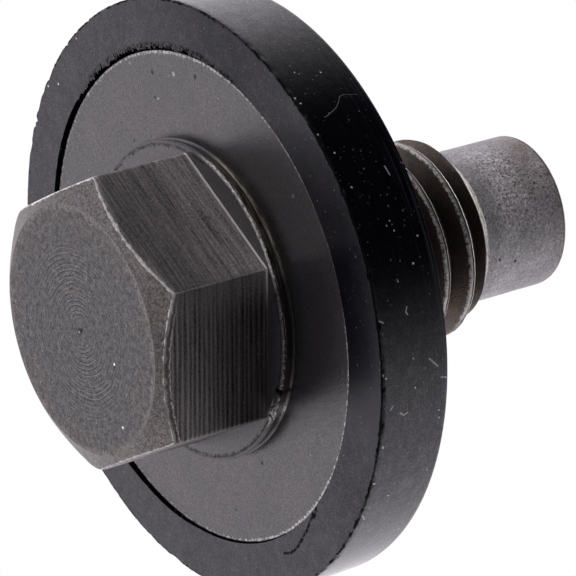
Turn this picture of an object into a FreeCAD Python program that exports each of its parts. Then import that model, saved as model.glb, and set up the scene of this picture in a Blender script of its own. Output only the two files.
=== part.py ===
import FreeCAD, Part
import math
import os
import Sketcher

# Drain plug of an automatic transmission's oil pan: one turned and thread-rolled steel piece
# with a hexagon head, a flange and a pilot, and a rubber ring bonded round the flange.
# Millimetres. The plug stands on its head: the origin is the middle of the head's end face,
# and +Z runs up the shank. Two of the hexagon's flats face +Y and -Y.

doc = FreeCAD.newDocument("drain_plug")

# Driving sizes, one row each: word, value, what it measures.
SIZES = [
    ("AcrossFlats", 13.0, "hexagon head, flat to flat"),
    ("CornerRound", 0.25, "rounding of the hexagon's upright corners"),
    ("FaceDiameter", 12.1, "flat end face of the head, inside its chamfer"),
    ("FaceChamferAngle", 30.0, "chamfer of the head, from the end face, degrees"),
    ("HeadHeight", 6.7, "end face to the front of the flange"),
    ("CollarDiameter", 15.6, "washer face between hexagon and flange"),
    ("CollarHeight", 0.65, "how far the washer face stands above the flange"),
    ("FlangeDiameter", 24.0, "steel flange, under the rubber's grip"),
    ("FlangeThickness", 2.2, "steel flange"),
    ("FlangeChamfer", 0.15, "rim of the flange's front"),
    ("NeckDiameter", 7.9, "relief between flange and thread"),
    ("NeckLength", 2.0, "relief, from the flange's back"),
    ("NeckChamfer", 0.3, "where the neck meets the flange"),
    ("ThreadDiameter", 10.0, "M10 x 1.5, right hand, major diameter"),
    ("ThreadPitch", 1.5, "M10 x 1.5"),
    ("ThreadStart", 1.86, "middle of the first groove, from the flange's back"),
    ("ThreadLength", 11.2, "flange's back to the end of the full thread"),
    ("RunoutAngle", 45.0, "lead-in chamfer between thread and pilot, degrees"),
    ("PilotDiameter", 7.6, "plain end that finds the hole"),
    ("PilotLength", 4.85, "end of the lead-in to the end of the pilot"),
    ("TipRound", 0.15, "rounded edge of the pilot's end"),
    ("SealWidth", 2.55, "rubber outside the flange, on the side of the head"),
    ("SealDraft", 0.2, "how much narrower the rubber is at its sealing face"),
    ("SealProud", 0.12, "how far the rubber stands out of the flange's front"),
    ("SealLip", 1.6, "flange's back to the sealing face"),
    ("SealLap", 3.0, "how far the rubber reaches in over the flange's back"),
    ("SealChamfer", 0.2, "outer edges of the rubber ring"),
]

sheet = doc.addObject("Spreadsheet::Sheet", "Sizes")
for row, (word, value, meaning) in enumerate(SIZES, start=1):
    sheet.set("A%d" % row, word)
    sheet.set("B%d" % row, str(value))
    sheet.set("C%d" % row, meaning)
    sheet.setAlias("B%d" % row, word)
doc.recompute()


def size(word):
    return float(sheet.get(word))


def worked_out(text):
    # The value of an expression on the sheet; None stands for zero.
    if text is None:
        return 0.0
    value = sheet.evalExpression(text)
    return float(getattr(value, "Value", value))


def new_body(label):
    body = doc.addObject("PartDesign::Body", label)
    body.Label = label
    return body


def origin_plane(body, role):
    return next(feature for feature in body.Origin.OriginFeatures if feature.Role == role)


def new_sketch(body, name, role):
    sketch = body.newObject("Sketcher::SketchObject", name)
    sketch.AttachmentSupport = [(origin_plane(body, role), "")]
    sketch.MapMode = "FlatFace"
    return sketch


def bind(sketch, kind, value_text, *places):
    # One dimension of a sketch, tied to an expression on the sheet.
    number = sketch.addConstraint(Sketcher.Constraint(kind, *places, 1.0))
    sketch.setExpression("Constraints[%d]" % number, value_text)


def turned_profile(body, name, corners):
    # Closed section on the XZ plane. A corner is (radius, height), each an expression,
    # and None is on the axis or on the origin's level.
    sketch = new_sketch(body, name, "XZ_Plane")
    points = [FreeCAD.Vector(worked_out(r), worked_out(z), 0) for r, z in corners]
    count = len(points)
    for i in range(count):
        sketch.addGeometry(Part.LineSegment(points[i], points[(i + 1) % count]), False)
    for i in range(count):
        sketch.addConstraint(Sketcher.Constraint("Coincident", i, 2, (i + 1) % count, 1))
    for i, (r, z) in enumerate(corners):
        if r is None:
            sketch.addConstraint(Sketcher.Constraint("PointOnObject", i, 1, -2))
        else:
            bind(sketch, "DistanceX", r, -1, 1, i, 1)
        if z is None:
            sketch.addConstraint(Sketcher.Constraint("PointOnObject", i, 1, -1))
        else:
            bind(sketch, "DistanceY", z, -1, 1, i, 1)
    return sketch


def turn(body, kind, name, sketch):
    feature = body.newObject(kind, name)
    feature.Profile = sketch
    feature.ReferenceAxis = (sketch, ["V_Axis"])
    feature.Angle = 360.0
    return feature


def dress_edges(body, kind, name, word, chosen):
    # Rounds or chamfers the edges of the body so far that the test picks.
    doc.recompute()
    base = body.Tip
    edges = ["Edge%d" % (i + 1) for i, edge in enumerate(base.Shape.Edges) if chosen(edge)]
    feature = body.newObject("PartDesign::" + kind, name)
    feature.Base = (base, edges)
    feature.setExpression("Radius" if kind == "Fillet" else "Size", "Sizes.%s" % word)
    return feature


def near(a, b):
    return abs(a - b) < 1e-3


def ring_edge(radius, height):
    # Picks the full circle of that radius at that height, both expressions.
    def chosen(edge):
        return (isinstance(edge.Curve, Part.Circle)
                and near(edge.Curve.Radius, worked_out(radius))
                and near(edge.Curve.Center.z, worked_out(height)))
    return chosen


# Steel piece: the hexagon first.
plug = new_body("plug_body")
HEX_POINT = "Sizes.AcrossFlats / 2 / cos(30 deg)"
hexagon = new_sketch(plug, "HexagonOutline", "XY_Plane")
reach = size("AcrossFlats") / 2 / math.cos(math.radians(30))
hex_corners = [FreeCAD.Vector(reach * math.cos(math.radians(60 * k)),
                              reach * math.sin(math.radians(60 * k)), 0) for k in range(6)]
for k in range(6):
    hexagon.addGeometry(Part.LineSegment(hex_corners[k], hex_corners[(k + 1) % 6]), False)
hexagon.addGeometry(Part.Circle(FreeCAD.Vector(0, 0, 0), FreeCAD.Vector(0, 0, 1), reach), True)
for k in range(6):
    hexagon.addConstraint(Sketcher.Constraint("Coincident", k, 2, (k + 1) % 6, 1))
    hexagon.addConstraint(Sketcher.Constraint("PointOnObject", k, 1, 6))
for k in range(1, 6):
    hexagon.addConstraint(Sketcher.Constraint("Equal", 0, k))
hexagon.addConstraint(Sketcher.Constraint("Coincident", 6, 3, -1, 1))
hexagon.addConstraint(Sketcher.Constraint("PointOnObject", 0, 1, -1))
bind(hexagon, "Radius", HEX_POINT, 6)
head = plug.newObject("PartDesign::Pad", "Hexagon")
head.Profile = hexagon
head.setExpression("Length", "Sizes.HeadHeight")
dress_edges(plug, "Fillet", "HexagonCorners", "CornerRound",
            lambda edge: isinstance(edge.Curve, Part.Line) and abs(edge.tangentAt(0).z) > 0.99)

# Chamfer of the head: what lies outside a cone is turned away.
chamfer = turned_profile(plug, "ChamferSection", [
    ("Sizes.FaceDiameter / 2", None),
    ("Sizes.AcrossFlats", None),
    ("Sizes.AcrossFlats",
     "(Sizes.AcrossFlats - Sizes.FaceDiameter / 2) * tan(Sizes.FaceChamferAngle * 1 deg)"),
])
turn(plug, "PartDesign::Groove", "HeadChamfer", chamfer)

# Collar, flange, neck, thread blank, lead-in and pilot, turned in one section.
COLLAR_R = "Sizes.CollarDiameter / 2"
COLLAR_Z = "Sizes.HeadHeight - Sizes.CollarHeight"
FLANGE_R = "Sizes.FlangeDiameter / 2"
FLANGE_Z = "Sizes.HeadHeight"
FLANGE_BACK_Z = "Sizes.HeadHeight + Sizes.FlangeThickness"
NECK_R = "Sizes.NeckDiameter / 2"
THREAD_R = "Sizes.ThreadDiameter / 2"
THREAD_END_Z = FLANGE_BACK_Z + " + Sizes.ThreadLength"
PILOT_R = "Sizes.PilotDiameter / 2"
LEAD_OUT = "(Sizes.ThreadDiameter - Sizes.PilotDiameter) / 2 / tan(Sizes.RunoutAngle * 1 deg)"
NECK_TAPER = "(Sizes.ThreadDiameter - Sizes.NeckDiameter) / 2"
PILOT_Z = THREAD_END_Z + " + " + LEAD_OUT
TIP_Z = PILOT_Z + " + Sizes.PilotLength"
shank = turned_profile(plug, "TurnedSection", [
    (None, COLLAR_Z),
    (COLLAR_R, COLLAR_Z),
    (COLLAR_R, FLANGE_Z),
    (FLANGE_R, FLANGE_Z),
    (FLANGE_R, FLANGE_BACK_Z),
    (NECK_R, FLANGE_BACK_Z),
    (NECK_R, FLANGE_BACK_Z + " + Sizes.NeckLength"),
    (THREAD_R, FLANGE_BACK_Z + " + Sizes.NeckLength + " + NECK_TAPER),
    (THREAD_R, THREAD_END_Z),
    (PILOT_R, PILOT_Z),
    (PILOT_R, TIP_Z),
    (None, TIP_Z),
])
turn(plug, "PartDesign::Revolution", "FlangeAndShank", shank)
flange_rim = ring_edge(FLANGE_R, FLANGE_Z)
neck_root = ring_edge(NECK_R, FLANGE_BACK_Z)
pilot_end = ring_edge(PILOT_R, TIP_Z)
dress_edges(plug, "Chamfer", "FlangeRim", "FlangeChamfer", flange_rim)
dress_edges(plug, "Chamfer", "NeckRoot", "NeckChamfer", neck_root)
dress_edges(plug, "Fillet", "PilotTip", "TipRound", pilot_end)

# Thread: a 60 degree groove on a helix. It begins in the relief and ends past the lead-in,
# so it runs out in the open at both ends.
CREST_FLAT = "Sizes.ThreadPitch / 8"
ROOT_FLAT = "Sizes.ThreadPitch / 6"
GROOVE_Z = FLANGE_BACK_Z + " + Sizes.ThreadStart"
GROOVE_OVER = "Sizes.ThreadPitch / 10"
CREST_HALF = "(Sizes.ThreadPitch - %s) / 2" % CREST_FLAT
ROOT_HALF = "%s / 2" % ROOT_FLAT
ROOT_R = "%s - (%s - %s) / tan(30 deg)" % (THREAD_R, CREST_HALF, ROOT_HALF)
groove = turned_profile(plug, "ThreadGroove", [
    (ROOT_R, "%s - %s" % (GROOVE_Z, ROOT_HALF)),
    (THREAD_R, "%s - %s" % (GROOVE_Z, CREST_HALF)),
    ("%s + %s" % (THREAD_R, GROOVE_OVER), "%s - %s" % (GROOVE_Z, CREST_HALF)),
    ("%s + %s" % (THREAD_R, GROOVE_OVER), "%s + %s" % (GROOVE_Z, CREST_HALF)),
    (THREAD_R, "%s + %s" % (GROOVE_Z, CREST_HALF)),
    (ROOT_R, "%s + %s" % (GROOVE_Z, ROOT_HALF)),
])
thread = plug.newObject("PartDesign::SubtractiveHelix", "Thread")
thread.Profile = groove
thread.ReferenceAxis = (groove, ["V_Axis"])
thread.Mode = "pitch-height-angle"
thread.setExpression("Pitch", "Sizes.ThreadPitch")
thread.setExpression("Height", "Sizes.ThreadLength + %s + %s - Sizes.ThreadStart"
                     % (LEAD_OUT, CREST_HALF))
thread.Angle = 0
thread.LeftHanded = False
thread.Reversed = False
doc.recompute()

# Rubber ring: it grips the flange's rim and its back, and is open round the shank.
seal = new_body("rubber_seal")
SEAL_FRONT_R = FLANGE_R + " + Sizes.SealWidth"
SEAL_FRONT_Z = FLANGE_Z + " - Sizes.SealProud"
SEAL_BACK_R = SEAL_FRONT_R + " - Sizes.SealDraft"
SEAL_BACK_Z = FLANGE_BACK_Z + " + Sizes.SealLip"
BORE_R = FLANGE_R + " - Sizes.SealLap"
ring = turned_profile(seal, "RingSection", [
    (FLANGE_R, SEAL_FRONT_Z),
    (SEAL_FRONT_R, SEAL_FRONT_Z),
    (SEAL_BACK_R, SEAL_BACK_Z),
    (BORE_R, SEAL_BACK_Z),
    (BORE_R, FLANGE_BACK_Z),
    (FLANGE_R, FLANGE_BACK_Z),
])
turn(seal, "PartDesign::Revolution", "Ring", ring)
front_rim = ring_edge(SEAL_FRONT_R, SEAL_FRONT_Z)
back_rim = ring_edge(SEAL_BACK_R, SEAL_BACK_Z)
dress_edges(seal, "Chamfer", "RingRims", "SealChamfer",
            lambda edge: front_rim(edge) or back_rim(edge))
doc.recompute()

# Nothing is written unless every feature worked and both pieces are whole.
for thing in doc.Objects:
    if "Invalid" in thing.State or "Error" in thing.State:
        raise RuntimeError("%s failed: %s" % (thing.Name, thing.State))
os.makedirs("parts", exist_ok=True)
for body in (plug, seal):
    if body.Shape.isNull() or not body.Shape.isValid() or len(body.Shape.Solids) != 1:
        raise RuntimeError("%s is not one valid solid" % body.Label)
    body.Shape.exportStep("parts/%s.step" % body.Label)
    box = body.Shape.BoundBox
    print("%s: %.1f mm3, z %.2f to %.2f" % (body.Label, body.Shape.Volume, box.ZMin, box.ZMax))
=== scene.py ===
import math

import bmesh
import bpy
from mathutils import Matrix, Vector, noise


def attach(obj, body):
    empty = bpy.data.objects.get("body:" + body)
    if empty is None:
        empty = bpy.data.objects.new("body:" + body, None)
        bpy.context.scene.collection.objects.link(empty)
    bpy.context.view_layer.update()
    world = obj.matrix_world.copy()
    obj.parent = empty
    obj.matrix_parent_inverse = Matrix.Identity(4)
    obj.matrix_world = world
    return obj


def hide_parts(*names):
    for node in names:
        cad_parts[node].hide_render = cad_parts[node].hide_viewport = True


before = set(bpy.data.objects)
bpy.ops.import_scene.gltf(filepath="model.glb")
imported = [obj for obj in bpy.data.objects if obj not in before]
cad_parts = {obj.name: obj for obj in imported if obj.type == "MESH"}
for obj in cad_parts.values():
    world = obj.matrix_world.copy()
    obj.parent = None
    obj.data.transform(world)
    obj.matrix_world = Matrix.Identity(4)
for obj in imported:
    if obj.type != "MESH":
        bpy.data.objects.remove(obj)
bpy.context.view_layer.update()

mm = 0.001
fullTurn = 2 * math.pi
print("frame loaded:", sorted(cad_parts))


# Camera: it looks up at the head from below, turned on its side as the photograph is.

camera = {
    "aim": (0.43, 2.38, 10.24),     # mm
    "azimuth": 63.25,               # degrees from +X towards +Y, where the camera stands
    "elevation": -33.23,
    "roll": 74.57,
    "distance": 237.3,              # mm
    "lens": 312.5,                  # mm on a 36 mm sensor
}


def roundPlace(radius, theta, height):
    # A place at a radius from the axis, theta radians from +X.
    return Vector((radius * math.cos(theta), radius * math.sin(theta), height))


def directionTo(azimuth, elevation):
    # A unit vector, from degrees.
    azimuth, elevation = math.radians(azimuth), math.radians(elevation)
    return roundPlace(math.cos(elevation), azimuth, math.sin(elevation))


def placeCamera(c):
    outward = directionTo(c["azimuth"], c["elevation"])
    right = Vector((0, 0, 1)).cross(outward).normalized()
    upward = outward.cross(right)
    frameAxes = Matrix((right, upward, outward)).transposed().to_4x4()
    place = (Vector(c["aim"]) + outward * c["distance"]) * mm
    data = bpy.data.cameras.new("photoCamera")
    data.lens = c["lens"]
    data.sensor_width = 36
    data.clip_start = 0.01
    shown = bpy.data.objects.new("photoCamera", data)
    turned = Matrix.Rotation(math.radians(c["roll"]), 4, "Z")
    shown.matrix_world = Matrix.Translation(place) @ frameAxes @ turned
    bpy.context.scene.collection.objects.link(shown)
    bpy.context.scene.camera = shown


placeCamera(camera)
print("camera placed")


# Shader maths: a wire is a socket with arithmetic on it, a graph is the tree of a material or world.

class Wire:
    def __init__(self, graph, socket):
        self.graph = graph
        self.socket = socket

    def math(self, operation, *values):
        inputs = dict(enumerate((self,) + values))
        return self.graph.node("ShaderNodeMath", {"operation": operation}, inputs)

    def __add__(self, other):
        return self.math("ADD", other)

    def __sub__(self, other):
        return self.math("SUBTRACT", other)

    def __rsub__(self, other):
        return self.graph.node("ShaderNodeMath", {"operation": "SUBTRACT"}, {0: other, 1: self})

    def __mul__(self, other):
        return self.math("MULTIPLY", other)

    def __truediv__(self, other):
        return self.math("DIVIDE", other)

    __radd__ = __add__
    __rmul__ = __mul__

    def size(self):
        return self.math("ABSOLUTE")

    def larger(self, other):
        return self.math("MAXIMUM", other)

    def smaller(self, other):
        return self.math("MINIMUM", other)

    def rise(self, low, high):
        # Smooth step from 0 at low to 1 at high. Where low is the larger, it falls.
        return self.graph.node("ShaderNodeMapRange", {"interpolation_type": "SMOOTHSTEP"},
                               {"Value": self, "From Min": low, "From Max": high})

    def near(self, place, reach):
        # 1 at a place, 0 once it is farther off than reach.
        return 1 - (self - place).size().rise(0.0, reach)


def away(first, *others):
    # How far off a place is, from its offsets along the axes.
    squares = first * first
    for offset in others:
        squares = squares + offset * offset
    return squares.math("SQRT")


class Graph:
    def __init__(self, tree):
        self.tree = tree
        tree.nodes.clear()

    def node(self, kind, settings=None, values=None, out=0):
        # Settings are set first, then values or wires go to the inputs. Gives the output named by out.
        made = self.tree.nodes.new(kind)
        for key, value in (settings or {}).items():
            setattr(made, key, value)
        for key, value in (values or {}).items():
            if isinstance(value, Wire):
                self.tree.links.new(value.socket, made.inputs[key])
            else:
                made.inputs[key].default_value = value
        return Wire(self, made.outputs[out]) if len(made.outputs) else made

    def split(self, vector):
        first = self.node("ShaderNodeSeparateXYZ", {}, {0: vector})
        return [Wire(self, socket) for socket in first.socket.node.outputs]

    def blend(self, factor, first, second, way="MIX"):
        first, second = [c if isinstance(c, Wire) else (*c, 1.0) for c in (first, second)]
        return self.node("ShaderNodeMix", {"data_type": "RGBA", "blend_type": way},
                         {0: factor, 6: first, 7: second}, out=2)

    def shade(self, colour, factor):
        return self.node("ShaderNodeVectorMath", {"operation": "SCALE"}, {0: colour, "Scale": factor})

    def cloud(self, place, scale, detail=3.0, roughness=0.6):
        return self.node("ShaderNodeTexNoise", {}, {"Vector": place, "Scale": scale, "Detail": detail,
                                                    "Roughness": roughness})

    def cells(self, place, scale):
        return self.node("ShaderNodeTexVoronoi", {}, {"Vector": place, "Scale": scale})

    def bump(self, height, strength, distance):
        return self.node("ShaderNodeBump", {},
                         {"Height": height, "Strength": strength, "Distance": distance})


class Finish(Graph):
    # One material: millimetre coordinates on the part, and a principled shader to feed.
    def __init__(self, name):
        self.material = bpy.data.materials.new(name)
        self.material.use_nodes = True
        super().__init__(self.material.node_tree)
        objectPlace = self.node("ShaderNodeTexCoord", out="Object")
        self.place = self.shade(objectPlace, 1 / mm)
        self.x, self.y, self.z = self.split(self.place)
        self.radius = away(self.x, self.y)
        self.angle = self.y.math("ARCTAN2", self.x)
        self.degrees = self.angle * (360 / fullTurn)
        self.grain = self.cloud(self.place, 10.0, 3.0, 0.8)

    def drawn(self, roundScale, alongScale):
        # A place for patterns that are drawn out round the axis, with no seam.
        return self.node("ShaderNodeVectorMath", {"operation": "MULTIPLY"},
                         {0: self.place, 1: (roundScale, roundScale, alongScale)})

    def spot(self, azimuth, radius, size):
        # A round mark on a flat face, at an angle in degrees and a radius.
        middle = roundPlace(radius, math.radians(azimuth), 0.0)
        return 1 - away(self.x - middle.x, self.y - middle.y).rise(size * 0.5, size)

    def stroke(self, across, along, route, size):
        # A thin mark along a route of places, measured across and along a surface.
        mark = None
        for (startX, startY), (endX, endY) in zip(route, route[1:]):
            spanX, spanY = endX - startX, endY - startY
            fromX, fromY = across - startX, along - startY
            share = ((fromX * spanX + fromY * spanY) / (spanX ** 2 + spanY ** 2)).larger(0.0).smaller(1.0)
            part = 1 - away(fromX - share * spanX, fromY - share * spanY).rise(size * 0.4, size)
            mark = part if mark is None else mark.larger(part)
        return mark

    def finish(self, **sockets):
        # Feeds the shader: a name's underscores stand for spaces, and three numbers are a colour.
        values = {}
        for key, value in sockets.items():
            values[key.replace("_", " ")] = (*value, 1.0) if isinstance(value, tuple) else value
        shader = self.node("ShaderNodeBsdfPrincipled", {}, values)
        self.node("ShaderNodeOutputMaterial", {}, {"Surface": shader})
        return self.material


# Meshes: every piece but the lint is a sheet of rows round the axis, each row with a form of its own.

def noiseRound(theta, waves, seed):
    # Noise on a circle, about -1 to 1, with no seam.
    return noise.noise(roundPlace(waves, theta, seed))


def roundSheet(rows, steps):
    # Rows are functions of the angle, 0 to a full turn, that give radius and height in mm.
    # The first and last step of a row are merged where they meet.
    sheet = bmesh.new()
    rowTag = sheet.verts.layers.int.new("row")
    stepTag = sheet.verts.layers.int.new("step")
    loop = [sheet.verts.new((1.0, 0.0, 0.0)) for step in range(steps + 1)]
    for step, vert in enumerate(loop):
        vert[stepTag] = step
    edges = [sheet.edges.new(pair) for pair in zip(loop, loop[1:])]
    for number in range(1, len(rows)):
        grown = bmesh.ops.extrude_edge_only(sheet, edges=edges)["geom"]
        edges = [part for part in grown if isinstance(part, bmesh.types.BMEdge)]
        for part in grown:
            if isinstance(part, bmesh.types.BMVert):
                part[rowTag] = number
    for vert in sheet.verts:
        theta = fullTurn * vert[stepTag] / steps
        radius, height = rows[vert[rowTag]](theta)
        vert.co = roundPlace(radius, theta, height)
    bmesh.ops.remove_doubles(sheet, verts=sheet.verts, dist=0.0005)
    bmesh.ops.recalc_face_normals(sheet, faces=sheet.faces)
    return sheet


def level(radius, height):
    return lambda theta: (radius, height)


def between(first, last, count):
    # Evenly spaced values, both ends included.
    return [first + (last - first) * (i / (count - 1)) for i in range(count)]


def finishPiece(sheet, name, materials, node, sharpAngle=32):
    for edge in sheet.edges:
        edge.smooth = not edge.is_manifold or edge.calc_face_angle(0) < math.radians(sharpAngle)
    for face in sheet.faces:
        face.smooth = True
    bmesh.ops.scale(sheet, vec=(mm, mm, mm), verts=sheet.verts)
    mesh = bpy.data.meshes.new(name)
    sheet.to_mesh(mesh)
    sheet.free()
    for material in materials:
        mesh.materials.append(material)
    piece = bpy.data.objects.new(name, mesh)
    bpy.context.scene.collection.objects.link(piece)
    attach(piece, "root")
    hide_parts(node)
    print("made", name, len(mesh.polygons), "faces")
    return piece


# Head: six flats, a turned chamfer and the end face, in one skin from the collar to the centre.

bareSteel = (0.74, 0.72, 0.70)
wornBright = (1.0, 0.97, 0.93)
hexagon = {
    "flats": 13.0,          # mm, across the flats
    "roundings": (0.24, 0.20, 0.24, 1.2, 0.7, 1.3),      # of the upright corners at 0, 60 ... degrees
    "face": 6.05,           # radius of the flat end face
    "slope": 30.0,          # chamfer, degrees
    "base": 6.12,           # height where the flats sink into the collar
    "chips": 0.05,          # how far the worn edge wanders
    "facet": 0.08,          # how far in that edge is rounded over
    "cutPitch": 0.27,       # milling marks along the axis
    "turnedRound": (-0.12, -0.03),          # middle of the turning marks on the face
    "turnPitch": 0.205,
    "fineTurnPitch": 0.118,
    # Bright flecks and the dark middle in degrees, radius and size. The last fleck is a painted highlight
    # in the centre dimple, and the dark middle is painted shade in it.
    "flecks": ((106.9, 2.84, 0.085), (138.6, 5.07, 0.085), (224.5, 0.24, 0.10)),
    "dimple": (222.0, 0.20, 0.26),
    "faceColours": ((0.084, 0.082, 0.084), (0.095, 0.087, 0.081)),
    "flatColour": (0.255, 0.240, 0.236),
    "faceRoughness": 0.42,
    "flatRoughness": 0.48,
    "steps": 840,           # round the axis
}


def insideFlats(f):
    # Distance below the nearest flat.
    reach = None
    for turn in (30, 90, 150):
        a = math.radians(turn)
        across = (f.x * math.cos(a) + f.y * math.sin(a)).size()
        reach = across if reach is None else reach.larger(across)
    return hexagon["flats"] / 2 - reach


def turnedFaceFinish():
    f = Finish("turnedFace")
    inside = insideFlats(f)
    mottle = f.cloud(f.place, 3.4, 4.0, 0.7)
    middleX, middleY = hexagon["turnedRound"]
    across, along = f.x - middleX, f.y - middleY
    turned = away(across, along)
    # Painted highlight: the turning marks get bright glints on the two sides of their middle along (0.95,
    # -0.31), where the rings catch the light.
    ringGlintWeight = ((across * 0.95 - along * 0.31) / turned.larger(0.05)).size().rise(0.45, 1.0)
    wobble = f.cloud(f.place, 0.8, 2.0)
    cut = (turned * (fullTurn / hexagon["turnPitch"]) + wobble * 7.0).math("SINE")
    fineCut = (turned * (fullTurn / hexagon["fineTurnPitch"]) + wobble * 11.0).math("SINE")
    marks = (cut * 0.5 + fineCut * 0.5) * turned.rise(0.25, 0.9) * (1 - turned.rise(3.2, 5.2) * 0.9)
    marks = marks * f.cloud(f.place, 1.1, 2.0).rise(0.25, 0.60)
    onChamfer = f.radius.rise(hexagon["face"] - 0.35, hexagon["face"] + 0.2)
    brown = (f.cloud(f.place, 0.8, 3.0) + f.radius.rise(3.6, 7.0) * 0.22 + mottle * 0.35).rise(0.66, 0.95)
    colour = f.blend(brown, *hexagon["faceColours"])
    factor = 1 + (f.grain - 0.5) * 3.8 + (mottle - 0.5) * (3.0 - onChamfer * 1.4)
    # The marks are partly real tone and partly painted glints.
    factor = factor + marks * (0.13 + ringGlintWeight * 0.62)
    colour = f.shade(colour, factor.larger(0.2) * (1 + onChamfer * 0.33))
    rimPlace = f.radius + (mottle - 0.5) * 0.9
    rim = rimPlace.near(hexagon["face"] - 0.12, 0.24) * f.cloud(f.place, 8.0, 3.0, 0.7).rise(0.40, 0.60)
    rim = rim * f.cloud(f.place, 0.9, 2.0).rise(0.34, 0.60)
    colour = f.blend(rim * 0.55, colour, (0.27, 0.255, 0.24))
    specks = f.cells(f.place, 2.1).rise(0.11, 0.05) * f.cloud(f.place, 1.9, 1.0).rise(0.5, 0.56)
    colour = f.blend(specks * 0.7, colour, (0.42, 0.41, 0.40))
    for fleck in hexagon["flecks"]:
        colour = f.blend(f.spot(*fleck), colour, (0.85, 0.85, 0.85))
    # Painted shade: the centre dimple is painted near black, with the last fleck as its painted
    # highlight.
    colour = f.blend(f.spot(*hexagon["dimple"]) * 0.75, colour, (0.02, 0.018, 0.017))
    chips = f.cloud(f.place, 13.0, 4.0, 0.8)
    breaks = f.cloud(f.place, 2.6, 2.0)
    worn = 1 - (inside + (chips - 0.5) * 0.36 + (breaks - 0.5) * 0.30).rise(0.075, 0.105)
    # The worn edge is real wear, painted dimmer towards -x as shade on the side turned from the light.
    worn = worn * (0.35 + f.x.rise(-2.0, 2.5) * 0.65)
    colour = f.blend(worn, colour, f.shade(wornBright, chips.rise(0.34, 0.50) * 0.92 + 0.08))
    height = marks * 0.5 + f.grain * 0.7 + mottle * 0.3 - onChamfer * 0.2
    return f.finish(Base_Color=colour, Metallic=0.94 - worn * 0.86, Roughness=hexagon["faceRoughness"],
                    Normal=f.bump(height, 0.7, 0.00003))


def milledFlatFinish():
    f = Finish("milledFlat")
    coneSlope = math.tan(math.radians(hexagon["slope"]))
    aboveCone = f.z - (f.radius - hexagon["face"]) * coneSlope
    # Flats towards +x are lit and the others shaded.
    lit = f.x.rise(1.5, 4.0)
    shaded = 1 - lit
    wander = f.cloud(f.drawn(0.06, 0.9), 1.0, 2.0)
    cut = (f.z * (fullTurn / hexagon["cutPitch"]) + wander * 9.0).math("SINE")
    lines = f.cloud(f.drawn(0.30, 9.0), 1.0, 3.0, 0.7)
    broad = f.cloud(f.drawn(0.12, 1.3), 1.0, 2.0)
    grit = f.cloud(f.drawn(6.0, 14.0), 1.0, 3.0, 0.8)
    factor = 0.95 + cut * (0.06 + shaded * 0.34) + (lines - 0.5) * 2.0 + (broad - 0.5) * 1.2
    factor = factor + (f.grain - 0.5) * 2.0 + (grit - 0.5) * 1.6
    # Painted light and shade: the lit flats are painted lighter and the shaded ones darker, more so
    # towards the chamfer.
    litSide = f.z.rise(1.6, 5.6) * (lit * 1.1 - shaded * 0.35)
    colour = f.shade(hexagon["flatColour"], factor.larger(0.12) * (1 + litSide) * (1 - shaded * 0.08))
    chips = f.cloud(f.place, 13.0, 4.0, 0.8)
    breaks = f.cloud(f.place, 2.6, 2.0)
    wandered = aboveCone + (chips - 0.5) * 0.26 + (breaks - 0.5) * 0.20
    # The worn edge is real wear, painted dimmer on the shaded flats as shade.
    edge = (1 - wandered.rise(0.05, 0.09)) * (0.60 + lit * 0.40)
    colour = f.blend(edge, colour, f.shade(wornBright, chips.rise(0.34, 0.50) * 0.92 + 0.08))
    brown = (1 - (aboveCone + (chips - 0.5) * 0.2).rise(0.22, 0.30)) * shaded * (1 - edge)
    colour = f.blend(brown * 0.7, colour, (0.11, 0.088, 0.070))
    rubbing = wandered.near(0.25, 0.06) * chips.rise(0.42, 0.52) * shaded
    colour = f.blend(rubbing, colour, wornBright)
    along = (f.y / f.x.larger(0.1)).near(math.tan(math.radians(60)), 0.045) * lit
    corner = (along * chips.rise(0.43, 0.50)).smaller(f.radius.rise(7.1, 7.2)) * 0.8
    colour = f.blend(corner, colour, wornBright)
    # Painted highlight: a bright bare line along the foot of the flats, painted on the lit flats only.
    foot = f.z.near(hexagon["base"] - 0.10, 0.13).rise(0.0, 0.5)
    colour = f.blend(foot * lit, colour, wornBright)
    scuff = f.cells(f.drawn(1.4, 3.0), 1.0).rise(0.09, 0.04)
    colour = f.blend(scuff * 0.5, colour, bareSteel)
    bare = edge.larger(rubbing).larger(foot * lit).larger(corner)
    height = lines * 0.45 + cut * (0.04 + shaded * 0.25) + grit * 0.3 + f.grain * 0.4
    return f.finish(Base_Color=colour, Metallic=0.70 - bare * 0.62, Roughness=hexagon["flatRoughness"],
                    Normal=f.bump(height, 0.6, 0.00004))


def hexagonRadius(theta):
    corner, share = divmod(theta + math.pi / 6, math.pi / 3)
    half, rounding = hexagon["flats"] / 2, hexagon["roundings"][int(corner) % 6]
    fromCorner = share - math.pi / 6
    flatEnd = math.atan2((half - rounding) * math.tan(math.pi / 6), half)
    if abs(fromCorner) < math.pi / 6 - flatEnd:
        centre = (half - rounding) / math.cos(math.pi / 6)
        return (centre * math.cos(fromCorner)
                + math.sqrt(rounding ** 2 - (centre * math.sin(fromCorner)) ** 2))
    return half / math.cos(math.pi / 6 - abs(fromCorner))


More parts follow.
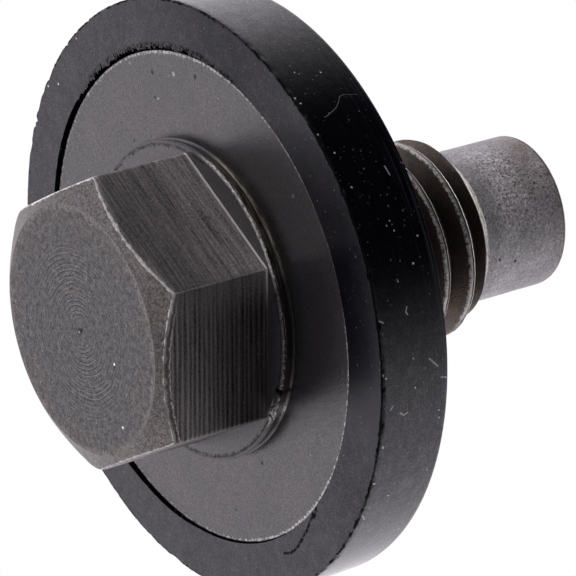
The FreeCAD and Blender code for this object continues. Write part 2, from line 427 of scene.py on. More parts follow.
def makeHead(h):
    tilt = math.tan(math.radians(h["slope"]))

    def chip(theta):
        return (noiseRound(theta, 30.0, 3.1) * 0.5 + noiseRound(theta, 80.0, 7.7) * 0.5) * h["chips"]

    def coneHeight(radius):
        return (radius - h["face"]) * tilt

    def flatRow(share):
        def row(theta):
            radius = hexagonRadius(theta)
            top = coneHeight(radius) + h["facet"] * 3 + chip(theta) * 0.5
            height = h["base"] + (top - h["base"]) * share
            around = roundPlace(1.5, theta, height * 3.6)
            ripple = noise.noise(around) * 0.008 + noise.noise(around * 2.3) * 0.004
            flare = 0.05 * max(0.0, 1 - abs(height - h["base"]) / 0.14) ** 2
            return radius + (ripple - 0.012) * min(1.0, (1 - share) * 8) + flare, height
        return row

    def brokenRow(theta):
        radius = hexagonRadius(theta)
        return radius - h["facet"] * 0.35, coneHeight(radius) + h["facet"] * 0.9 + chip(theta)

    def coneRow(share):
        def row(theta):
            edge = hexagonRadius(theta) - h["facet"] + chip(theta + 2) * 0.6
            radius = edge + (h["face"] - edge) * share
            return radius, coneHeight(radius) + noiseRound(theta, 12.0, radius) * 0.008 * (1 - share)
        return row

    def faceRow(radius):
        def row(theta):
            dimple = 0.09 * max(0.0, 1 - (radius / 0.15) ** 2)
            groove = 0.0035 * math.sin(radius * fullTurn / 0.41)
            return radius, max(0.0, dimple + groove * min(1.0, radius))
        return row

    rows = [flatRow(share) for share in between(0.0, 1.0, 58)]
    rows += [brokenRow]
    rows += [coneRow(share) for share in between(0.0, 1.0, 9)]
    rows += [faceRow(radius) for radius in between(h["face"] - 0.06, 0.0, 36)]
    sheet = roundSheet(rows, h["steps"])
    # Faces steeper than 48 degrees are milled flat, the others turned.
    steep = math.cos(math.radians(48))
    for face in sheet.faces:
        face.material_index = 1 if abs(face.normal.z) < steep else 0
    return finishPiece(sheet, "hexagonHead", [turnedFaceFinish(), milledFlatFinish()],
                       "plug_body", 24)


# Collar: the washer face, its rim torn where the turning tool left it.

collar = {
    "radius": 7.8,          # mm, of its torn rim
    "foot": 7.66,           # radius where its wall meets the flange
    "face": 6.05,           # height of its flat face
    "inner": 5.6,           # radius where that face starts, inside the head
    "tear": 0.09,           # how far the torn rim wanders
    "tornFrom": 8.0,        # degrees, where it is torn most
    "tornTo": 70.0,
    "notch": 106.5,         # where it is broken out
    "burr": 115.5,          # where a chip of it curls up
    "colour": (0.108, 0.104, 0.108),
    "roughness": 0.38,
    "steps": 1080,
}


def collarFinish():
    f = Finish("tornCollar")
    rim = collar["radius"]
    torn = f.degrees.rise(collar["tornFrom"] - 4, collar["tornFrom"] + 14)
    torn = torn * (1 - f.degrees.rise(collar["tornTo"] - 10, collar["tornTo"]) * 0.8)
    torn = torn * (1 - f.degrees.rise(collar["burr"] + 5, collar["burr"] + 9))
    streaks = f.cloud(f.drawn(0.8, 13.0), 1.0, 4.0, 0.7)
    crumbs = f.cloud(f.place, 6.0, 4.0, 0.75)
    onWall = f.radius.rise(collar["foot"] - 0.08, collar["foot"] + 0.02)
    colour = f.shade(collar["colour"], 1 + (f.grain - 0.5) * 1.4)
    wall = f.blend(streaks.rise(0.40, 0.66), (0.035, 0.030, 0.026), (0.36, 0.33, 0.29))
    wall = f.blend(f.z.near(flange["front"] - 0.08, 0.07) * 0.85, wall, (0.95, 0.86, 0.66))
    wall = f.blend(1 - torn, wall, (0.10, 0.095, 0.095))
    colour = f.blend(onWall, colour, wall)
    lip = f.z.near(collar["face"] + 0.01, 0.09) * f.radius.rise(rim - 0.20, rim - 0.12)
    lip = lip * crumbs.rise(0.38, 0.50)
    colour = f.blend(lip * torn, colour, wornBright)
    # Painted shade: a dotted dark line along the rim where it is not torn, with its wall turned away.
    scallop = f.radius + (crumbs - 0.5) * 0.5
    edgeShadeDots = scallop.near(rim - 0.24, 0.13) * f.cloud(f.place, 4.0, 2.0, 0.7).rise(0.44, 0.52)
    colour = f.blend(edgeShadeDots * (1 - torn) * 0.95, colour, (0.006, 0.005, 0.005))
    # Painted shade: the broken-out notch is painted near black.
    outside = f.radius.rise(rim - 0.44, rim - 0.36)
    notch = f.degrees.near(collar["notch"], 2.0) * outside
    colour = f.blend(notch, colour, (0.003, 0.003, 0.003))
    burr = f.degrees.near(collar["burr"], 6.0) * outside * (crumbs + streaks).rise(0.94, 1.04)
    colour = f.blend(burr, colour, bareSteel)
    bright = burr.larger(lip * torn)
    return f.finish(Base_Color=colour, Metallic=0.80 - bright * 0.5, Roughness=collar["roughness"],
                    Normal=f.bump(streaks * onWall + f.grain * 0.5 + crumbs * 0.4, 0.7, 0.00005))


def makeCollar(c):
    def tear(theta):
        return noiseRound(theta, 34.0, 1.3) * 0.6 + noiseRound(theta, 100.0, 5.9) * 0.5

    def tornAt(theta):
        degrees = math.degrees(theta)
        rise = min(1.0, max(0.0, (degrees - c["tornFrom"]) / 15))
        return 0.25 + 0.75 * min(rise, max(0.0, min(1.0, (c["burr"] + 12 - degrees) / 10)))

    def lipRow(inset, drop):
        def row(theta):
            wander = tear(theta) * c["tear"] * tornAt(theta)
            degrees = math.degrees(theta)
            broken = max(0.0, 1 - abs(degrees - c["notch"]) / 1.8)
            curled = max(0.0, 1 - abs(degrees - c["burr"]) / 5.0) * (0.6 + tear(theta + 3))
            wander -= broken * 0.22 + curled * 0.06
            height = c["face"] + drop + tear(theta + 1) * 0.05 * tornAt(theta)
            return c["radius"] - inset + wander, height + broken * 0.16 - curled * 0.16
        return row

    def wallRow(share):
        def row(theta):
            height = c["face"] + 0.12 + (flange["front"] - 0.05 - c["face"] - 0.12) * share
            ripple = noise.noise(roundPlace(5.0, theta, height * 9)) * 0.018
            return c["radius"] + (c["foot"] - c["radius"]) * share + ripple, height
        return row

    rows = [level(radius, c["face"]) for radius in between(c["inner"], c["radius"] - 0.32, 12)]
    rows += [lipRow(0.20, 0.005), lipRow(0.10, -0.03), lipRow(0.03, -0.02), lipRow(0.0, 0.04),
             lipRow(0.05, 0.09)]
    rows += [wallRow(share) for share in between(0.0, 1.0, 12)]
    rows += [level(c["foot"] + 0.02, flange["front"] - 0.02),
             level(c["foot"] + 0.10, flange["front"] + 0.01)]
    return finishPiece(roundSheet(rows, c["steps"]), "collar", [collarFinish()],
                       "plug_body")


# Flange: flat and phosphated, with pits, and a bright worn rim.

flange = {
    "radius": 12.0,
    "front": 6.7,           # heights of its two faces
    "back": 8.9,
    "chamfer": 0.10,        # of its front edge
    "pits": ((340.5, 10.94, 0.15), (359.3, 11.08, 0.15), (142.7, 8.47, 0.14), (163.2, 10.4, 0.10),
             (318.0, 9.4, 0.08)),       # degrees, radius, size
    "flecks": ((331.8, 11.61, 0.104), (45.3, 10.69, 0.13), (340.8, 9.68, 0.104), (350.0, 10.9, 0.156)),
    "colours": ((0.088, 0.0858, 0.0895), (0.094, 0.0906, 0.0915)),
    "roughness": 0.20,
    "steps": 720,
}


def flangeFinish():
    f = Finish("phosphatedFlange")
    patch = f.cloud(f.place, 0.45, 3.0)
    mottle = f.cloud(f.place, 3.0, 4.0, 0.7)
    turning = f.cloud(f.place, 1.3, 2.0)
    marks = (f.radius * (fullTurn / 0.33) + turning * 9.0).math("SINE")
    colour = f.blend(patch.rise(0.35, 0.65), *flange["colours"])
    factor = 1 + (f.grain - 0.5) * 2.4 + (mottle - 0.5) * 0.7 + marks * 0.02
    colour = f.shade(colour, factor)
    pits = f.cells(f.place, 0.9).rise(0.09, 0.04) * f.cloud(f.place, 1.3, 1.0).rise(0.52, 0.6)
    for pit in flange["pits"]:
        pits = pits.larger(f.spot(*pit))
    colour = f.blend(pits * 0.95, colour, (0.008, 0.007, 0.007))
    for fleck in flange["flecks"]:
        colour = f.blend(f.spot(*fleck) * mottle.rise(0.3, 0.7), colour, (0.42, 0.41, 0.405))
    dust = f.cells(f.place, 1.6).rise(0.085, 0.04) * f.cloud(f.place, 0.8, 2.0).rise(0.5, 0.6)
    colour = f.blend(dust * 0.35, colour, (0.5, 0.49, 0.48))
    nicks = f.cloud(f.place, 6.0, 3.0, 0.7)
    rim = (f.radius + (nicks - 0.5) * 0.30).rise(flange["radius"] - 0.20, flange["radius"] - 0.10)
    rim = rim * (1 - f.z.rise(flange["front"] + 0.10, flange["front"] + 0.16))
    lower = (f.angle - math.radians(125.0)).math("COSINE").rise(0.3, 1.0)
    polished = 0.62 + lower * 0.38 + f.degrees.near(-20.0, 60.0) * 0.30
    colour = f.blend(rim * nicks.rise(0.34, 0.66) * polished, colour, (0.44, 0.435, 0.43))
    return f.finish(Base_Color=colour, Metallic=0.83, Roughness=flange["roughness"],
                    Normal=f.bump(f.grain + mottle * 0.4, 0.45, 0.00003))


def makeFlange(p):
    rim = p["radius"] - p["chamfer"]

    def frontRow(radius):
        def row(theta):
            swell = noise.noise(roundPlace(radius, theta, 2.0) * 0.35)
            return radius, p["front"] + 0.012 + swell * 0.012
        return row

    def rimRow(theta):
        return rim + 0.06, p["front"] + 0.035 + noiseRound(theta, 40, 2.2) * 0.015

    rows = [frontRow(radius) for radius in between(collar["foot"] - 0.1, rim, 34)]
    rows += [rimRow, level(p["radius"], p["front"] + p["chamfer"] + 0.02)]
    rows += [level(p["radius"], height) for height in between(p["front"] + 0.35, p["back"], 6)]
    rows += [level(radius, p["back"]) for radius in between(p["radius"] - 0.05, thread["neck"] + 0.3, 14)]
    rows += [level(thread["neck"], p["back"] + 0.3), level(thread["neck"], thread["start"] + 0.05)]
    return finishPiece(roundSheet(rows, p["steps"]), "flange", [flangeFinish()],
                       "plug_body")


# Thread: each row climbs one pitch in a turn, so that the rows join into a helix.

thread = {
    "radius": 5.0,
    "pitch": 1.5,
    "crest": 19.008,        # height of one crest's middle at +X
    "start": 10.9,          # end of the neck
    "full": 20.1,           # end of the full thread
    "neck": 3.95,           # radius of the relief neck before it
    "seam": 0.07,           # depth of the seam that rolling leaves in the crest
    "seamPlace": 0.05,      # its middle, from the crest's middle towards the pilot
    "colours": ((0.115, 0.104, 0.096), (0.160, 0.120, 0.092)),      # of the valleys, clean and rusted
    "crestColour": (0.34, 0.328, 0.32),
    "roughness": 0.42,
    "steps": 420,
}


def threadFinish():
    f = Finish("rolledThread")
    turnsAlong = (f.z - thread["crest"]) / thread["pitch"] - f.angle / fullTurn
    along = ((turnsAlong + 100.5).math("FRACT") - 0.5) * thread["pitch"]
    rust = f.cloud(f.place, 1.6, 3.0, 0.6)
    crumbs = f.cloud(f.place, 9.0, 4.0, 0.8)
    valley = f.blend(rust.rise(0.42, 0.66), *thread["colours"])
    valley = f.shade(valley, 1 + (f.grain - 0.5) * 1.6)
    # Painted shade: the crests' real wear and the glints are drawn only from -112 to 112 degrees and fade
    # round the back.
    litSide = 1 - f.degrees.size().rise(112.0, 138.0)
    wear = (f.radius + (crumbs - 0.5) * 0.05).rise(thread["radius"] - 0.078, thread["radius"] - 0.05)
    leadOut = (f.z + f.radius - (thread["full"] + thread["radius"])).rise(-0.03, -0.01)
    wear = wear.larger(leadOut * crumbs.rise(0.42, 0.60) * 0.4)
    flecks = f.cloud(f.place, 3.6, 3.0, 0.8)
    crest = f.shade(thread["crestColour"], 0.1 + crumbs * 1.8)
    colour = f.blend(wear * litSide, valley, crest)
    # Painted glints: bare-metal flecks painted white along each crest's head-side border and on the
    # lead-out cone, the cone's strongest round 60 degrees.
    border = (along + (crumbs - 0.5) * 0.10).near(-0.125, 0.075).rise(0.0, 0.45)
    glint = border * flecks.rise(0.47, 0.50) * litSide
    glint = glint.larger(leadOut * flecks.rise(0.42, 0.52) * (0.25 + f.degrees.near(60.0, 100.0) * 0.60))
    colour = f.blend(glint, colour, (1.0, 0.95, 0.86))
    # The lip is worn bare steel, painted brighter round 20 degrees as a highlight.
    lip = (along + (crumbs - 0.5) * 0.03).near(0.13, 0.030).rise(0.0, 0.5)
    lip = lip * (0.25 + f.degrees.near(20.0, 45.0))
    colour = f.blend(lip * wear * 0.8, colour, bareSteel)
    seam = along.near(thread["seamPlace"], 0.035) * f.cloud(f.place, 1.1, 2.0).rise(0.38, 0.5)
    colour = f.blend(seam * 0.9, colour, (0.02, 0.018, 0.017))
    return f.finish(Base_Color=colour, Metallic=0.94 - glint * 0.90, Roughness=thread["roughness"],
                    Normal=f.bump(f.grain + crumbs * 0.5, 0.6, 0.00004))


def makeThread(t):
    depth = 0.6134 * t["pitch"]
    half = t["pitch"] / 2
    crestHalf = t["pitch"] / 16 + 0.05
    rootHalf = t["pitch"] / 12

    def tooth(u):
        # Radius at u mm along the axis from a crest's middle.
        off = abs(u)
        if off < crestHalf:
            seam = t["seam"] * max(0.0, 1 - abs(u - t["seamPlace"]) / 0.045)
            return t["radius"] - 0.012 - seam - 0.03 * (off / crestHalf) ** 3
        if off > half - rootHalf:
            return t["radius"] - depth
        share = (off - crestHalf) / (half - rootHalf - crestHalf)
        return t["radius"] - 0.042 - (depth - 0.042) * share

    def threadRow(turn, u):
        return lambda theta: (tooth(u), t["crest"] + (turn + theta / fullTurn) * t["pitch"] + u)

    marks = [-half, -half + rootHalf] + between(-half + rootHalf, -crestHalf, 7)[1:]
    marks += [-0.11, -0.07, -0.03, 0.005, 0.028, t["seamPlace"], 0.072, 0.095, 0.12]
    marks += between(crestHalf, half - rootHalf, 7)
    sheet = roundSheet([threadRow(turn, u) for turn in range(-7, 3) for u in marks], t["steps"])
    for vert in sheet.verts:
        radius = math.hypot(vert.co.x, vert.co.y)
        nick = noise.noise(vert.co * 2.3) * 0.5 + noise.noise(vert.co * 7.0) * 0.5
        worn = radius + nick * 0.035 * max(0.0, (radius - t["radius"] + 0.30) / 0.30)
        leadIn = t["neck"] + max(0.0, vert.co.z - t["start"])
        leadOut = t["radius"] - max(0.0, vert.co.z - t["full"])
        kept = min(worn, leadIn, max(leadOut, pilot["radius"]), t["radius"])
        vert.co.x *= kept / radius
        vert.co.y *= kept / radius
    pilotStart = t["full"] + t["radius"] - pilot["radius"]
    for height, side in ((t["start"], -1), (pilotStart, 1)):
        everything = sheet.verts[:] + sheet.edges[:] + sheet.faces[:]
        bmesh.ops.bisect_plane(sheet, geom=everything, dist=0.0001, plane_co=(0, 0, height),
                               plane_no=(0, 0, side), clear_outer=True)
    bmesh.ops.recalc_face_normals(sheet, faces=sheet.faces)
    return finishPiece(sheet, "thread", [threadFinish()], "plug_body", 40)


# Pilot: blasted grey, speckled, with a little rust towards its end.

pilot = {
    "radius": 3.8,
    "start": 21.25,         # height, just inside the thread's lead-out
    "tip": 26.149,          # kept within the solid's end
    "rounding": 0.15,
    "pits": ((97.0, 22.0, 0.10), (102.0, 23.0, 0.11)),      # degrees, height, size
    "rough": (40.0, 55.0),          # roughest side: its middle and reach, degrees
    "roughFrom": (21.6, 22.8),      # heights over which it grows rough
    "rustFrom": (23.4, 25.9),
    "stainedEdge": (25.92, 26.02),
    "colours": ((0.37, 0.36, 0.37), (0.47, 0.46, 0.47)),
    "roughness": 0.66,
    "steps": 480,
}


def pilotFinish():
    f = Finish("blastedPilot")
    speckle = f.cloud(f.place, 6.0, 4.0, 0.8)
    patch = f.cloud(f.place, 0.5, 3.0)
    onSide = f.radius.rise(pilot["radius"] - 0.35, pilot["radius"] - 0.18)
    worked = f.degrees.near(*pilot["rough"]) * f.z.rise(*pilot["roughFrom"]) * onSide
    colour = f.blend(patch.rise(0.38, 0.62), *pilot["colours"])
    factor = 1.15 + worked * 0.45 + (speckle - 0.5) * (2.0 + worked * 5.0)
    factor = factor + (f.grain - 0.5) * (2.5 + worked * 2.5)
    colour = f.shade(colour, factor.larger(0.15))
    colour = f.blend(worked * 0.5, colour, (1.0, 0.94, 0.90), "MULTIPLY")
    for azimuth, height, size in pilot["pits"]:
        middle = roundPlace(pilot["radius"], math.radians(azimuth), height)
        pit = 1 - away(f.x - middle.x, f.y - middle.y, f.z - middle.z).rise(size * 0.5, size)
        colour = f.blend(pit, colour, (0.03, 0.027, 0.025))
    pits = f.cells(f.place, 4.6).rise(0.27, 0.12) * (worked * 0.7 + 0.25)
    colour = f.blend(pits, colour, (0.04, 0.036, 0.034))
    rust = f.z.rise(*pilot["rustFrom"]) * (f.degrees.near(35.0, 60.0) * onSide + 0.18)
    rust = rust * (patch + speckle).rise(0.80, 1.10)
    colour = f.blend(rust * 0.8, colour, (0.17, 0.115, 0.07))
    rim = f.z.rise(*pilot["stainedEdge"]) * (1 - f.degrees.rise(60.0, 110.0) * 0.6) * onSide
    colour = f.blend(rim * 0.7, colour, (0.10, 0.075, 0.055))
    return f.finish(Base_Color=colour, Metallic=0.62, Roughness=pilot["roughness"],
                    Normal=f.bump(speckle + f.grain * 0.6, 0.9, 0.00006))


def makePilot(p):
    arc = [math.radians(a) for a in between(0, 90, 12)]
    bend = p["radius"] - p["rounding"]

    def rough(theta, height):
        spot = roundPlace(p["radius"], theta, height)
        return noise.noise(spot * 0.7) * 0.018 + noise.noise(spot * 3.0) * 0.008 - 0.01

    def sideRow(height):
        fade = min(1.0, (height - p["start"]) / 0.4)
        return lambda theta: (p["radius"] + rough(theta, height) * fade, height)

    def tipRow(a):
        height = p["tip"] - p["rounding"] * (1 - math.sin(a))
        radius = bend + p["rounding"] * math.cos(a)
        return lambda theta: (radius + rough(theta, height) * math.cos(a), height)

    rows = [sideRow(height) for height in between(p["start"], p["tip"] - p["rounding"], 50)]
    rows += [tipRow(a) for a in arc[1:]]
    rows += [level(radius, p["tip"]) for radius in between(bend, 0.0, 16)[1:]]
    return finishPiece(roundSheet(rows, p["steps"]), "pilot", [pilotFinish()],
                       "plug_body")


# Rubber ring: it has come away from the flange's rim on one side, and its edges are nibbled.

ring = {
    "inner": 12.0,
    "outer": 14.55,         # radius of the wall at the front
    "outerBack": 14.41,
    "front": 6.58,          # heights of its two faces
    "back": 10.5,
    "bore": 9.0,            # radius of its opening at the back
    "gap": 0.23,            # width of the gap to the flange
    "gapFrom": 180.0,       # degrees, and the gap runs on past +X
    "gapTo": 380.0,
    "combFrom": 303.0,      # where the gap's edge is torn like a comb
    # The tear's route in degrees and radius, smudges and bright specks in degrees, radius and size.
    "tear": ((127.5, 12.10), (129.5, 12.30), (131.3, 12.22), (134.6, 12.49), (138.1, 12.68),
             (141.4, 12.87), (144.0, 12.92), (146.5, 12.80)),
    "tearStart": (130.0, 12.22, 0.20),
    "smudges": ((327.0, 13.57, 0.16), (332.0, 13.5, 0.22), (325.5, 13.2, 0.14)),
    "specks": ((299.7, 14.3, 0.08), (302.9, 13.73, 0.08), (316.0, 14.25, 0.06)),
    # Dust on the wall in degrees, height and size, and the routes of its scratches.
    "flecks": ((90.4, 8.56, 0.07), (84.7, 8.47, 0.05), (96.6, 10.06, 0.07), (98.2, 10.11, 0.06),
               (109.8, 9.99, 0.06), (113.4, 7.94, 0.05), (108.9, 6.80, 0.09), (100.8, 6.89, 0.08),
               (86.2, 6.66, 0.10), (86.9, 6.85, 0.07), (126.8, 9.92, 0.07), (59.2, 8.57, 0.05),
               (61.1, 8.65, 0.06), (59.9, 8.32, 0.05), (63.1, 9.84, 0.07), (67.7, 9.22, 0.08),
               (27.6, 8.92, 0.06), (26.3, 7.64, 0.05), (32.0, 6.72, 0.08), (40.4, 6.75, 0.06),
               (44.6, 7.12, 0.07), (51.6, 7.20, 0.07), (70.1, 8.16, 0.05), (33.4, 6.83, 0.07)),
    "strokes": (((85.6, 9.40), (87.6, 9.90)), ((89.9, 10.09), (90.3, 10.41)),
                ((94.6, 7.73), (95.2, 7.95), (94.9, 8.18)), ((93.3, 7.14), (92.7, 7.26)),
                ((49.3, 9.40), (51.1, 9.48)), ((75.0, 8.40), (75.9, 8.30), (76.4, 8.39)),
                ((117.0, 6.75), (118.2, 6.95)), ((76.0, 6.70), (76.6, 6.95))),
    "nicks": ((290.3, 0.17), (288.9, 0.08), (312.0, 0.10), (301.0, 0.06), (270.5, 0.06),
              (322.0, 0.07)),           # degrees, depth
    "colour": (0.0010, 0.0008, 0.0026),
    "steps": 1400,
}


def rubberFinish():
    f = Finish("mouldedRubber")
    onFace = 1 - f.z.rise(ring["front"] + 0.04, ring["front"] + 0.16)
    mottle = f.cloud(f.place, 2.2, 4.0, 0.65)
    scores = f.cloud(f.drawn(0.10, 7.0), 1.0, 3.0, 0.7)
    colour = f.shade(ring["colour"], 0.6 + mottle)
    dust = f.cells(f.place, 2.4).rise(0.16, 0.05) * f.cloud(f.place, 0.8, 2.0).rise(0.42, 0.56)
    fine = f.cells(f.drawn(1.0, 0.5), 5.2).rise(0.20, 0.07) * f.cloud(f.place, 1.1, 2.0).rise(0.48, 0.60)
    colour = f.blend((dust * 0.50 + fine * 0.24) * (1 - onFace * 0.60), colour, (0.42, 0.44, 0.50))
    smudge = f.cells(f.place, 1.1).rise(0.12, 0.06) * onFace * f.cloud(f.place, 0.7, 1.0).rise(0.5, 0.56)
    for place in ring["smudges"]:
        smudge = smudge.larger(f.spot(*place) * mottle.rise(0.35, 0.6))
    for speck in ring["specks"]:
        colour = f.blend(f.spot(*speck) * onFace, colour, (0.7, 0.7, 0.72))
    torn = [roundPlace(radius, math.radians(azimuth), 0.0).xy for azimuth, radius in ring["tear"]]
    tear = f.stroke(f.x + (mottle - 0.5) * 0.3, f.y + (f.grain - 0.5) * 0.3, torn, 0.10) * onFace
    tear = tear * f.cloud(f.place, 5.0, 2.0).rise(0.34, 0.48)
    tear = tear.larger(f.spot(*ring["tearStart"]) * onFace * mottle.rise(0.38, 0.46))
    ragged = (f.cloud(f.place, 4.0, 3.0, 0.7) - 0.5) * 0.34
    onEdge = (f.radius + ragged).rise(ring["outer"] - 0.15, ring["outer"] - 0.10)
    onEdge = onEdge * (1 - (f.z + ragged).rise(ring["front"] + 0.08, ring["front"] + 0.14))
    tear = tear.larger(onEdge * (0.15 + f.cloud(f.place, 1.7, 3.0).rise(0.42, 0.58) * 0.85))
    pastInner = f.radius - ring["inner"]
    combed = pastInner.near(0.24, 0.26) * f.degrees.near(-22.0, 34.0).rise(0.0, 0.25)
    combed = combed.larger(pastInner.near(0.10, 0.30) * f.degrees.near(9.0, 8.0).rise(0.0, 0.5))
    tear = tear.larger(combed * f.cloud(f.place, 6.0, 3.0, 0.8).rise(0.47, 0.54) * onFace)
    aroundWall = f.angle * ring["outer"]
    for azimuth, height, size in ring["flecks"]:
        across, along = aroundWall - math.radians(azimuth) * ring["outer"], f.z - height
        fleck = 1 - away(across, along).rise(size * 0.4, size)
        colour = f.blend(fleck * (1 - onFace), colour, (0.85, 0.87, 0.92))
    for places in ring["strokes"]:
        route = [(math.radians(azimuth) * ring["outer"], height) for azimuth, height in places]
        colour = f.blend(f.stroke(aroundWall, f.z, route, 0.05) * 0.7, colour, (0.75, 0.78, 0.85))
    colour = f.blend(tear, colour, (0.0, 0.0, 0.0))
    nearBack = f.z.rise(ring["back"] - 1.3, ring["back"] - 0.2)
    scratched = scores.rise(0.50, 0.66) * (0.15 + nearBack)
    colour = f.blend(scratched * 0.07 * (1 - onFace), colour, (0.40, 0.44, 0.62))
    dull = f.degrees.near(12.0, 48.0) * 0.34 + f.degrees.near(114.0, 32.0) * 0.30 + 0.04
    roughness = 0.16 + onFace * dull + (mottle - 0.5) * 0.08 + scratched * 0.15 + tear * 0.8
    film = 0.18 + (f.grain - 0.5) * 2.2 + (mottle - 0.5) * 0.9
    film = (film * (1 - smudge.larger(tear)) - onFace * f.degrees.near(20.0, 60.0) * 0.15).larger(0.0)
    film = film * (1 - onFace * f.degrees.near(76.0, 38.0).rise(0.0, 0.7))
    film = (film + 0.12 - onFace * 0.12) * (1 - f.degrees.size().rise(112.0, 145.0) * (1 - onFace))
    height = f.grain * 0.5 + mottle * 0.4 + scores * 0.7
    return f.finish(Base_Color=colour, Roughness=roughness, IOR=1.5, Specular_IOR_Level=0.27,
                    Specular_Tint=(0.93, 0.93, 1.0), Coat_Weight=film, Coat_Roughness=0.12,
                    Normal=f.bump(height, 0.3, 0.00003))


def makeRing(r):
    def gapAt(theta):
        degrees = math.degrees(theta) % 360
        if degrees < 90:
            degrees += 360
        ends = max(0.0, min(1.0, (degrees - r["gapFrom"]) / 25, (r["gapTo"] - degrees) / 25))
        comb = min(1.0, max(0.0, (degrees - r["combFrom"]) / 8))
        teeth = abs(noiseRound(theta, 70.0, 4.4)) * 0.26 + abs(noiseRound(theta, 190.0, 8.8)) * 0.26
        smooth = 0.76 + noiseRound(theta, 4.0, 9.0) * 0.5 + noiseRound(theta, 22.0, 1.0) * 0.10
        return 0.02 + ends * (r["gap"] * (smooth - comb * 0.78) + teeth * comb)

    def nibble(theta):
        degrees = math.degrees(theta)
        bites = min(0.0, noiseRound(theta, 26.0, 6.6) + 0.15) * 0.12 + noiseRound(theta, 60.0, 2.9) * 0.02
        nicks = sum(depth * max(0.0, 1 - abs(degrees - place) / 0.7) for place, depth in r["nicks"])
        return bites - 0.03 - nicks

    def frontRow(share):
        def row(theta):
            start = r["inner"] + gapAt(theta)
            radius = start + (r["outer"] - 0.04 - start) * share
            swell = noise.noise(roundPlace(radius, theta, 5.0) * 0.5)
            return radius + nibble(theta) * share ** 8, r["front"] + 0.015 + swell * 0.015
        return row

    def wallRow(share):
        def row(theta):
            height = r["front"] + (r["back"] - r["front"]) * share
            radius = r["outer"] + (r["outerBack"] - r["outer"]) * share
            near = max(0.0, 1 - share / 0.06)
            return radius + nibble(theta) * near - 0.012, height - nibble(theta) * near * 0.4
        return row

    rows = [lambda theta: (r["inner"] + 0.005, r["front"] + 0.70),
            lambda theta: (r["inner"] + gapAt(theta) * 0.6, r["front"] + 0.66),
            lambda theta: (r["inner"] + gapAt(theta) * 0.95, r["front"] + 0.16)]
    rows += [frontRow(share) for share in between(0.0, 1.0, 18)]
    rows += [wallRow(share) for share in (0.012, 0.024, 0.04, 0.06)]
    rows += [wallRow(share) for share in between(0.09, 0.955, 20)]
    rows += [level(r["outerBack"] - 0.012, r["back"] - 0.07),
             level(r["outerBack"] - 0.03, r["back"] - 0.02),
             level(r["outerBack"] - 0.07, r["back"])]
    rows += [level(radius, r["back"]) for radius in between(r["outerBack"] - 0.3, r["bore"] + 0.08, 10)]
    rows += [level(r["bore"], r["back"] - 0.08), level(r["bore"], flange["back"])]
    return finishPiece(roundSheet(rows, r["steps"]), "rubberRing", [rubberFinish()],
                       "rubber_seal", 40)


# Lint: a curled fibre that lies on the ring's outer wall.

lint = {
    "route": ((37.4, 7.58), (36.9, 7.95), (36.0, 8.45), (34.8, 8.80), (33.8, 9.0), (33.6, 9.30),
              (34.2, 9.94)),            # degrees, height
    "sunk": 0.02,           # how far its middle lies within the rubber
    "thick": 0.028,         # its own radius
    "colour": (0.16, 0.165, 0.19),
    "roughness": 0.6,
}


def lintFinish():
    f = Finish("lint")
    return f.finish(Base_Color=lint["colour"], Roughness=lint["roughness"])


def makeLint(p):
    sheet = bmesh.new()
    last = None
    for number in range(len(p["route"]) * 6 - 5):
        step, share = divmod(number, 6)
        start, end = p["route"][step], p["route"][min(step + 1, len(p["route"]) - 1)]
        azimuth, height = [a + (b - a) * share / 6 for a, b in zip(start, end)]
        draft = (height - ring["front"]) / (ring["back"] - ring["front"])
        radius = ring["outer"] - p["sunk"] - draft * (ring["outer"] - ring["outerBack"])
        middle = roundPlace(radius, math.radians(azimuth), height)
        outward, sideways = directionTo(azimuth, 0), directionTo(azimuth + 90, 0)
        loop = [sheet.verts.new(middle + side * p["thick"])
                for side in (outward, sideways, -outward, -sideways)]
        if last:
            for i in range(4):
                sheet.faces.new((last[i], last[(i + 1) % 4], loop[(i + 1) % 4], loop[i]))
        last = loop
    bmesh.ops.recalc_face_normals(sheet, faces=sheet.faces)
    return finishPiece(sheet, "lint", [lintFinish()], "rubber_seal", 120)


makeHead(hexagon)
makeCollar(collar)
makeFlange(flange)
makeThread(thread)
makePilot(pilot)
makeRing(ring)
makeLint(lint)


# Studio: a white tent with three dark sides, one above the camera and one on each side of it.
# The floor shows only from above.

studio = {
    "bright": (1.27, 1.215, 1.29),
    "dim": (0.020, 0.019, 0.024),
    "darkSides": ((38.0, 37.0, 21.0, 73.0),         # azimuth, elevation, dark within, bright beyond
                  (98.0, -26.0, 36.0, 70.0),
                  (22.0, -22.0, 14.0, 40.0)),
    "floor": (0.86, 0.86, 0.86),
    "floorDrop": 0.05,      # mm below the head, so the two never share a plane
    "floorReach": 3000.0,
    "lampPlace": (0.0, -60.0, 420.0),
    "lampAim": (0.0, 0.0, 12.0),
    "lampWidth": 260.0,
    "lampPower": 0.8,       # watts
}


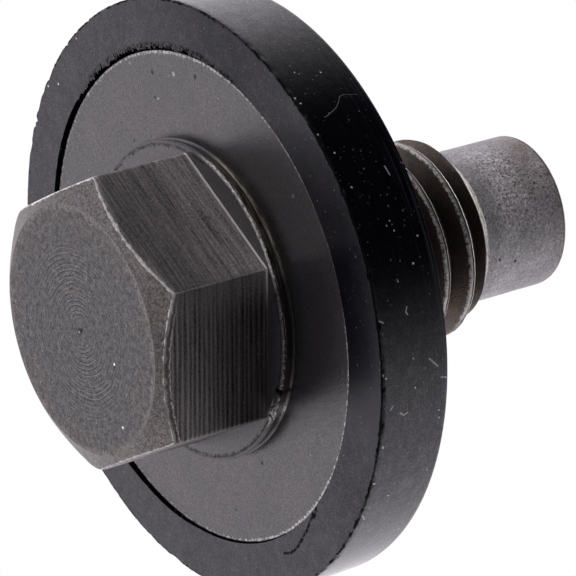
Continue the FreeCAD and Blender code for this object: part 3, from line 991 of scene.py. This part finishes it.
def makeWorld(s):
    world = bpy.data.worlds.new("studio")
    bpy.context.scene.world = world
    world.use_nodes = True
    g = Graph(world.node_tree)
    direction = g.node("ShaderNodeTexCoord", out="Generated")
    dark = None
    for azimuth, elevation, within, beyond in s["darkSides"]:
        closeness = g.node("ShaderNodeVectorMath", {"operation": "DOT_PRODUCT"},
                           {0: direction, 1: directionTo(azimuth, elevation)}, out="Value")
        side = closeness.rise(math.cos(math.radians(beyond)), math.cos(math.radians(within)))
        dark = side if dark is None else dark.larger(side)
    light = g.blend(dark, s["bright"], s["dim"])
    seen = g.node("ShaderNodeLightPath", out="Is Camera Ray")
    colour = g.blend(seen, light, (1.0, 1.0, 1.0))
    background = g.node("ShaderNodeBackground", {}, {"Color": colour, "Strength": 1.0})
    g.node("ShaderNodeOutputWorld", {}, {"Surface": background})


def makeFloor(s):
    sheet = bmesh.new()
    bmesh.ops.create_grid(sheet, x_segments=2, y_segments=2, size=s["floorReach"] * mm)
    bmesh.ops.translate(sheet, vec=(0, 0, -s["floorDrop"] * mm), verts=sheet.verts)
    mesh = bpy.data.meshes.new("floor")
    sheet.to_mesh(mesh)
    sheet.free()
    material = bpy.data.materials.new("floor")
    material.use_nodes = True
    g = Graph(material.node_tree)
    pale = g.node("ShaderNodeBsdfDiffuse", {}, {"Color": (*s["floor"], 1.0)})
    clear = g.node("ShaderNodeBsdfTransparent")
    below = g.node("ShaderNodeNewGeometry", out="Backfacing")
    seen = g.node("ShaderNodeLightPath", out="Is Camera Ray")
    mixed = g.node("ShaderNodeMixShader", {}, {0: seen * (1 - below), 1: clear, 2: pale})
    g.node("ShaderNodeOutputMaterial", {}, {"Surface": mixed})
    mesh.materials.append(material)
    floor = bpy.data.objects.new("floor", mesh)
    bpy.context.scene.collection.objects.link(floor)


def makeLamp(s):
    data = bpy.data.lights.new("overhead", "AREA")
    data.shape = "DISK"
    data.size = s["lampWidth"] * mm
    data.energy = s["lampPower"]
    lamp = bpy.data.objects.new("overhead", data)
    place, aim = Vector(s["lampPlace"]), Vector(s["lampAim"])
    lamp.location = place * mm
    lamp.rotation_euler = (aim - place).to_track_quat("-Z", "Y").to_euler()
    bpy.context.scene.collection.objects.link(lamp)


makeWorld(studio)
makeFloor(studio)
makeLamp(studio)
bpy.context.scene.view_settings.view_transform = "Standard"
print("studio lit")
